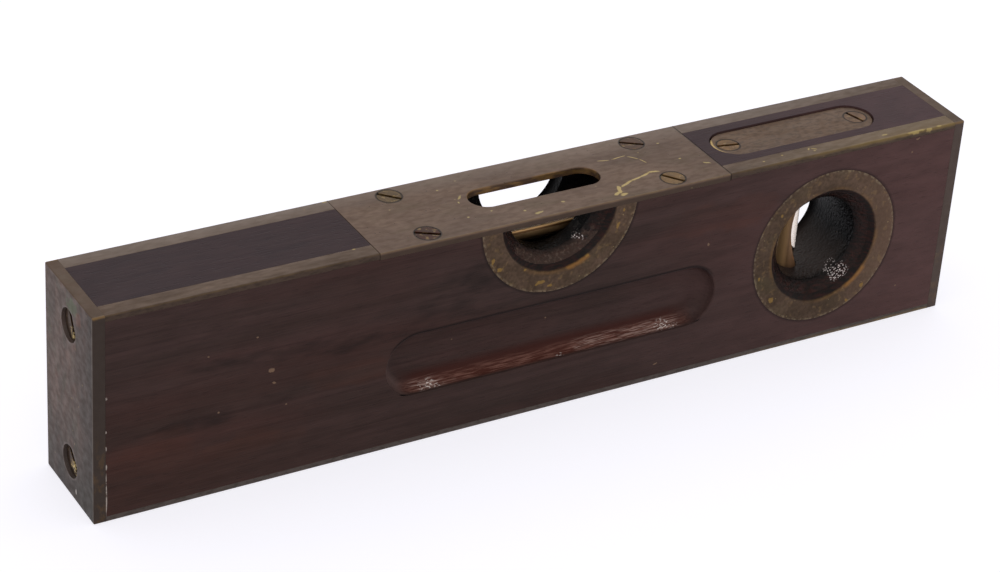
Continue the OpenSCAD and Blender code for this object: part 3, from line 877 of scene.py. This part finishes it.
def on_outer_corner(a, b):
    """True where an edge lies on two outer faces of the level."""
    faces = 0
    for axis in range(3):
        for side in (low[axis], high[axis]):
            faces += abs(a[axis] - side) < 0.02 and abs(b[axis] - side) < 0.02
    return faces >= 2


def plain_rounding(a, b):
    """The outer corners of the level are rounded, and all other edges stay crisp."""
    return CORNER if on_outer_corner(a, b) else JOINT


def plate_rounding(a, b):
    """The free rims of the plate and the cover are rounded, and their joints and screw holes stay crisp."""
    if on_outer_corner(a, b):
        return CORNER
    at_seam = min(abs(abs(end[0]) - PLATE_END) for end in (a, b)) < 0.3
    by_screw = any(math.dist(end[:2], screw[:2]) < SCREW_ROOM
                   for end in (a, b) for screw in PLATE_SCREWS + COVER_SCREWS)
    return JOINT if at_seam or by_screw or min(a[2], b[2]) < TOP - 0.6 else RIM


def stock_rounding(a, b):
    """The finger hollow's upper rim and its ends are eased by use, and all other edges are crisp."""
    in_grip = all(abs(p[0] - GRIP_X) < GRIP_STRAIGHT + GRIP_R + 1 and abs(p[2] - GRIP_Z) < GRIP_R + 1
                  for p in (a, b))
    low_lip = all(abs(p[0] - GRIP_X) < GRIP_STRAIGHT + 3 and p[2] < GRIP_Z - 0.5 * GRIP_R for p in (a, b))
    return CORNER if in_grip and not low_lip else JOINT


def placed(name, data):
    """A new object in the scene."""
    made = bpy.data.objects.new(name, data)
    bpy.context.scene.collection.objects.link(made)
    return made


def finished(name, mesh, look, node):
    """Puts a mesh into the scene as a piece that stands for its CAD node."""
    mesh.name = name
    mesh.materials.clear()
    mesh.materials.append(FINISHES[look])
    piece = placed(name, mesh)
    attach(piece, BODY)
    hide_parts(node)


def rounded(piece, width, **limits):
    """An object's mesh with its edges rounded to a width in mm. The object is used up."""
    bevel = piece.modifiers.new("Rounding", "BEVEL")
    bevel.width = width * MM
    bevel.segments = 3
    bevel.use_clamp_overlap = False
    for name, value in limits.items():
        setattr(bevel, name, value)
    normals = piece.modifiers.new("Normals", "WEIGHTED_NORMAL")
    normals.keep_sharp = True
    seen = piece.evaluated_get(bpy.context.evaluated_depsgraph_get())
    result = bpy.data.meshes.new_from_object(seen)
    bpy.data.objects.remove(piece)
    return result


def worn_copy(node, rounding):
    """A copy of a CAD node's mesh with each outer edge rounded to its own radius."""
    shape = bmesh.new()
    shape.from_mesh(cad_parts[node].data)
    bmesh.ops.remove_doubles(shape, verts=shape.verts, dist=0.002 * MM)
    bmesh.ops.dissolve_limit(shape, angle_limit=math.radians(0.5), verts=shape.verts, edges=shape.edges)
    weight = shape.edges.layers.float.new("bevel_weight_edge")
    for edge in shape.edges:
        turn = edge.calc_face_angle_signed(0.0)
        if abs(turn) < SHARP:
            continue
        if turn > 0:
            a, b = ([v / MM for v in end.co] for end in edge.verts)
            edge[weight] = rounding(a, b) / WIDEST
        else:
            edge.smooth = False
    for face in shape.faces:
        face.smooth = True
    mesh = bpy.data.meshes.new(node)
    shape.to_mesh(mesh)
    shape.free()
    return rounded(placed(node + "_rounded", mesh), WIDEST, limit_method="WEIGHT")


LOOKS = {
    "stock": ("rosewood", "waxed_rosewood", stock_rounding),
    "end_plate_left": ("plate_brass", "old_end_brass", plain_rounding),
    "end_plate_right": ("plate_brass", "old_end_brass", plain_rounding),
    "top_plate": ("plate_brass", "old_plate_brass", plate_rounding),
    "plumb_cover": ("plate_brass", "old_plate_brass", plate_rounding),
    "level_tube": ("tube_brass", "level_tube_brass", plain_rounding),
    "plumb_tube": ("tube_brass", "plumb_tube_brass", plain_rounding),
}
for side in ("front_left", "front_right", "back_left", "back_right"):
    LOOKS["top_rail_" + side] = ("rail_brass", "rail_brass", plain_rounding)
for side in ("front", "back"):
    LOOKS["bottom_rail_" + side] = ("rail_brass", "rail_brass", plain_rounding)
    LOOKS["half_ring_" + side] = ("ring_brass", "ring_brass", plain_rounding)
    LOOKS["plumb_ring_" + side] = ("ring_brass", "ring_brass", plain_rounding)

for node, (slot, look, rounding) in LOOKS.items():
    finished("worn_" + node, worn_copy(node, rounding), look, node)

# A screw: its slot is this share of its head's width, and its head has this much straight edge, in mm
SLOT_SHARE = 0.14
HEAD_EDGE = 0.2
SCREW_ROUNDING = 0.1
SCREW_SIDES = 64


def screw_tree():
    """The node tree that sets a countersunk slotted screw on each point, facing as its attribute says."""
    tree = bpy.data.node_groups.new("slotted_wood_screws", "GeometryNodeTree")
    sizes = ("Head", "Shank", "Length", "Slot", "Edge")
    tree.interface.new_socket("Places", in_out="INPUT", socket_type="NodeSocketGeometry")
    for name in sizes:
        tree.interface.new_socket(name, in_out="INPUT", socket_type="NodeSocketFloat")
    tree.interface.new_socket("Finish", in_out="INPUT", socket_type="NodeSocketMaterial")
    tree.interface.new_socket("Screws", in_out="OUTPUT", socket_type="NodeSocketGeometry")
    size = {name: add(tree, "NodeGroupInput", out=name) for name in sizes}

    def scaled(first, times, more=0.0):
        """A size times a number, and more."""
        return add(tree, "ShaderNodeMath", {0: first, 1: times, 2: more}, operation="MULTIPLY_ADD")

    def at_height(shape, height):
        """A shape moved along the screw's axis."""
        shift = add(tree, "ShaderNodeCombineXYZ", {"Z": height})
        return add(tree, "GeometryNodeTransform", {"Geometry": shape, "Translation": shift})

    head_r = scaled(size["Head"], 0.5)
    shank_r = scaled(size["Shank"], 0.5)
    cone = scaled(shank_r, -1.0, head_r)
    rim = add(tree, "GeometryNodeMeshCylinder", {
        "Vertices": SCREW_SIDES, "Radius": head_r, "Depth": size["Edge"]})
    taper = add(tree, "GeometryNodeMeshCone", {
        "Vertices": SCREW_SIDES, "Radius Top": head_r, "Radius Bottom": shank_r, "Depth": cone})
    shank = add(tree, "GeometryNodeMeshCone", {
        "Vertices": SCREW_SIDES, "Radius Top": shank_r, "Radius Bottom": scaled(shank_r, 0.5),
        "Depth": scaled(size["Length"], 1.0, scaled(size["Edge"], -1.0))})
    rim = at_height(rim, scaled(size["Edge"], -0.5))
    taper = at_height(taper, scaled(size["Edge"], -1.0, scaled(cone, -1.0)))
    shank = at_height(shank, scaled(size["Length"], -1.0))
    whole = add(tree, "GeometryNodeMeshBoolean", {"Mesh 2": rim}, operation="UNION", solver="EXACT")
    for more in (taper, shank):
        tree.links.new(more, whole.node.inputs["Mesh 2"])
    cut = add(tree, "ShaderNodeCombineXYZ", {
        "X": scaled(size["Head"], 2.0), "Y": size["Slot"], "Z": scaled(size["Slot"], 2.0)})
    cut = add(tree, "GeometryNodeMeshCube", {"Size": cut})
    whole = add(tree, "GeometryNodeMeshBoolean", {"Mesh 1": whole, "Mesh 2": cut},
                operation="DIFFERENCE", solver="EXACT")
    facing = add(tree, "GeometryNodeInputNamedAttribute", {"Name": "facing"}, data_type="FLOAT_VECTOR")
    screws = add(tree, "GeometryNodeInstanceOnPoints", {
        "Points": add(tree, "NodeGroupInput", out="Places"), "Instance": whole, "Rotation": facing})
    screws = add(tree, "GeometryNodeRealizeInstances", {"Geometry": screws})
    screws = add(tree, "GeometryNodeSetMaterial", {
        "Geometry": screws, "Material": add(tree, "NodeGroupInput", out="Finish")})
    add(tree, "NodeGroupOutput", {"Screws": screws})
    return tree


SCREW_TREE = screw_tree()


def set_screws(node, places, turns, tilt, head, shank, length):
    """Sets the screws of a CAD node by their middles, the turns of their slots, their tilt and sizes."""
    mesh = bpy.data.meshes.new("places")
    mesh.from_pydata([[v * MM for v in place] for place in places], [], [])
    facing = mesh.attributes.new("facing", "FLOAT_VECTOR", "POINT")
    for point, turn in zip(facing.data, turns):
        point.vector = (Matrix.Rotation(math.radians(tilt), 3, "Y") @
                        Matrix.Rotation(math.radians(turn), 3, "Z")).to_euler()
    piece = placed("places", mesh)
    nodes = piece.modifiers.new("Screws", "NODES")
    nodes.node_group = SCREW_TREE
    given = {"Head": head * MM, "Shank": shank * MM, "Length": length * MM, "Slot": SLOT_SHARE * head * MM,
             "Edge": HEAD_EDGE * MM, "Finish": FINISHES["screw_brass"]}
    for socket in SCREW_TREE.interface.items_tree:
        if socket.name in given:
            nodes[socket.identifier] = given[socket.name]
    mesh = rounded(piece, SCREW_ROUNDING, limit_method="ANGLE", angle_limit=math.radians(40))
    finished("set_" + node, mesh, "screw_brass", node)


cover_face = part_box("plumb_cover_screws")[1].z / MM
cover_places = [(x, y, cover_face) for x, y, _ in COVER_SCREWS]
set_screws("top_plate_screws", PLATE_SCREWS, (-31, -53, -46, -33), 0, PLATE_HEAD, 3.4, 19)
set_screws("plumb_cover_screws", cover_places, (-12, -75), 0, COVER_HEAD, 3.0, 13)
for side, name in ((-1, "end_screws_left"), (1, "end_screws_right")):
    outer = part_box(name)[(side + 1) // 2].x / MM
    set_screws(name, [(outer, y, z) for _, y, z in END_SCREWS], (25, 41), side * 90, END_HEAD, 4.6, 25)

# The liquid reaches this far into the glass, so that no air shows between them, and the bore has this
# curve. The glass has this radius at its melted ends, and one of them is drawn out to a tip.
WETTING = 0.05
BARREL_CURVE = 1500
TURNED_SIDES = 64
GLASS_CORNER = 1.3
TIP_R = 0.8
TIP_LENGTH = 2.2


def turned(axis, middle, *profiles):
    """Closed shells turned about X or Z through a middle in metres, as one mesh. Each profile holds radii
    and heights in mm, and starts and ends on the axis. One that goes downwards bounds a hollow."""
    shape = bmesh.new()
    for profile in profiles:
        rings = []
        for radius, height in profile:
            steps = TURNED_SIDES if radius > 1e-6 else 1
            angles = [2 * math.pi * k / steps for k in range(steps)]
            rings.append([shape.verts.new(Vector((radius * math.cos(a), radius * math.sin(a), height)) * MM)
                          for a in angles])
        for lower, upper in zip(rings, rings[1:]):
            for k in range(TURNED_SIDES):
                corners = (lower[k % len(lower)], lower[(k + 1) % len(lower)],
                           upper[(k + 1) % len(upper)], upper[k % len(upper)])
                shape.faces.new(list(dict.fromkeys(corners))).smooth = True
    if axis == "X":
        shape.transform(Matrix.Rotation(math.radians(90), 4, "Y"))
    shape.transform(Matrix.Translation(middle))
    mesh = bpy.data.meshes.new("turned")
    shape.to_mesh(mesh)
    shape.free()
    return mesh


def quarter(steps):
    """The angles from 0 to 90 degrees in equal steps."""
    return [math.radians(90 * k / steps) for k in range(steps + 1)]


def bore_profile(radius, length):
    """The outline of the liquid in a vial: a slow barrel with round ends."""
    straight = length / 2 - radius
    half = [(radius - u * u / (2 * BARREL_CURVE), u) for u in (straight * k / 8 for k in range(1, 9))]
    end = half[-1][0]
    half += [(end * math.cos(a), straight + end * math.sin(a)) for a in quarter(10)[1:-1]]
    half.append((0.0, straight + end))
    return [(r, -u) for r, u in reversed(half)] + [(radius, 0.0)] + half


def glass_profile(radius, length):
    """The outline of a vial's outside: round where it is melted shut, with a tip at its upper end."""
    corner = [(radius - GLASS_CORNER * (1 - math.cos(a)), length / 2 - GLASS_CORNER * (1 - math.sin(a)))
              for a in quarter(6)]
    tip = [(TIP_R * math.cos(a), length / 2 + TIP_LENGTH - TIP_R * (1 - math.sin(a)))
           for a in quarter(5)[:-1]]
    lower_end = [(0.0, -length / 2)] + [(r, -u) for r, u in reversed(corner)]
    return lower_end + corner + [(TIP_R, length / 2)] + tip + [(0.0, length / 2 + TIP_LENGTH)]


def make_vial(vial, axis):
    """The glass of a vial and its liquid, turned about X or Z, in place of their CAD nodes."""
    k = "XYZ".index(axis)
    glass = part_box(vial + "_glass")
    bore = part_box(vial + "_spirit")
    glass_r = glass[1].y / MM
    glass_length = (glass[1] - glass[0])[k] / MM - TIP_LENGTH
    bore_r = bore[1].y / MM
    bore_length = (bore[1] - bore[0])[k] / MM
    middle = (glass[0] + glass[1]) / 2
    middle[k] = glass[0][k] + glass_length / 2 * MM
    bore_middle = middle.copy()
    bore_middle[k] = (bore[0] + bore[1])[k] / 2
    shift = (bore_middle - middle)[k] / MM
    hollow = [(r, u + shift) for r, u in reversed(bore_profile(bore_r, bore_length))]
    shell = turned(axis, middle, glass_profile(glass_r, glass_length), hollow)
    liquid = turned(axis, bore_middle, bore_profile(bore_r + WETTING, bore_length + 2 * WETTING))
    finished(vial + "_vial", shell, "drawn_glass", vial + "_glass")
    finished(vial + "_liquid", liquid, "clear_spirit", vial + "_spirit")


make_vial("level", "X")
make_vial("plumb", "Z")

# The CAD nodes that keep their own mesh
STAYS = {
    "air_bubble": ["level_bubble", "plumb_bubble"],
    "gypsum_plaster": ["level_plug_left", "level_plug_right", "level_bed_left", "level_bed_right",
                       "plumb_plug_top", "plumb_plug_bottom", "plumb_bed"],
}
for look, nodes in STAYS.items():
    for node in nodes:
        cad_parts[node].data.materials.clear()
        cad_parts[node].data.materials.append(FINISHES[look])


def camera():
    """The camera, which stands where the photograph was taken."""
    lens = bpy.data.cameras.new("photograph")
    lens.sensor_fit = "HORIZONTAL"
    lens.sensor_width = CAMERA_SENSOR
    lens.lens = CAMERA_LENS
    lens.clip_start = 0.05
    eye = placed("photograph", lens)
    turned_to = Matrix((CAMERA_RIGHT, CAMERA_UP, CAMERA_BACK)).transposed().to_4x4()
    eye.matrix_world = Matrix.Translation(CAMERA_PLACE) @ turned_to
    bpy.context.scene.camera = eye


def seen_directly(tree):
    """1 for the rays that show the background: the camera's, and those through glass or off metal."""
    rays = [add(tree, "ShaderNodeLightPath", out=ray)
            for ray in ("Is Camera Ray", "Is Glossy Ray", "Is Transmission Ray")]
    return any_of(tree, *rays)


# The studio's light in parts of a white that just doesn't clip, and the floor's size and drop in m and mm
AMBIENT = 0.70
FLOOR_GLOW = 0.68
FLOOR_SIZE = 8.0
FLOOR_DROP = 0.05


def studio_world():
    """An even white studio: it shows white, and lights the level a little less than that."""
    world = bpy.data.worlds.new("white_studio")
    tree = bare_tree(world)
    level = add(tree, "ShaderNodeMapRange", {
        "Value": seen_directly(tree), "To Min": AMBIENT, "To Max": 1.0})
    sky = add(tree, "ShaderNodeBackground", {"Color": "#ffffff", "Strength": level})
    add(tree, "ShaderNodeOutputWorld", {"Surface": sky})
    bpy.context.scene.world = world


def paper_floor():
    """White paper: it shows white with a faint shadow, and throws its own light back on the level."""
    material = bpy.data.materials.new("white_paper")
    tree = bare_tree(material)
    paper = add(tree, "ShaderNodeBsdfDiffuse", {"Color": "#dedee2"})
    shaded = add(tree, "ShaderNodeBsdfDiffuse", {"Color": "#bcbbc2"})
    glow = add(tree, "ShaderNodeEmission", {"Color": "#fbfaff", "Strength": FLOOR_GLOW})
    seen = add(tree, "ShaderNodeAddShader", {0: shaded, 1: glow})
    surface = add(tree, "ShaderNodeMixShader", {0: seen_directly(tree), 1: paper, 2: seen})
    add(tree, "ShaderNodeOutputMaterial", {"Surface": surface})
    half = FLOOR_SIZE / 2
    mesh = bpy.data.meshes.new("paper_floor")
    corners = [(-half, -half), (half, -half), (half, half), (-half, half)]
    mesh.from_pydata([(x, y, -FLOOR_DROP * MM) for x, y in corners], [], [(0, 1, 2, 3)])
    mesh.materials.append(material)
    placed("paper_floor", mesh)


def lamp(name, direction, distance, width, height, radiance):
    """A soft box that looks at the middle of the level. Its radiance is in multiples of lit white paper."""
    light = bpy.data.lights.new(name, "AREA")
    light.shape = "RECTANGLE"
    light.size = width
    light.size_y = height
    light.energy = radiance * math.pi * width * height
    box = placed(name, light)
    away = Vector(direction).normalized()
    box.location = Vector((0, 0, TOP * MM / 2)) + distance * away
    box.rotation_euler = away.to_track_quat("Z", "Y").to_euler()


camera()
studio_world()
paper_floor()
lamp("back_softbox", (0.30, 0.60, 0.74), 1.6, 1.5, 0.9, 0.15)
lamp("front_fill", (-0.45, -0.80, 0.55), 1.8, 1.2, 0.9, 0.3)
lamp("overhead_strip", (0.45, 0.10, 0.88), 1.3, 0.7, 0.25, 0.8)
lamp("front_spot", (-0.35, -0.68, 0.645), 1.5, 0.03, 0.03, 500)

bpy.context.scene.view_settings.view_transform = "Standard"
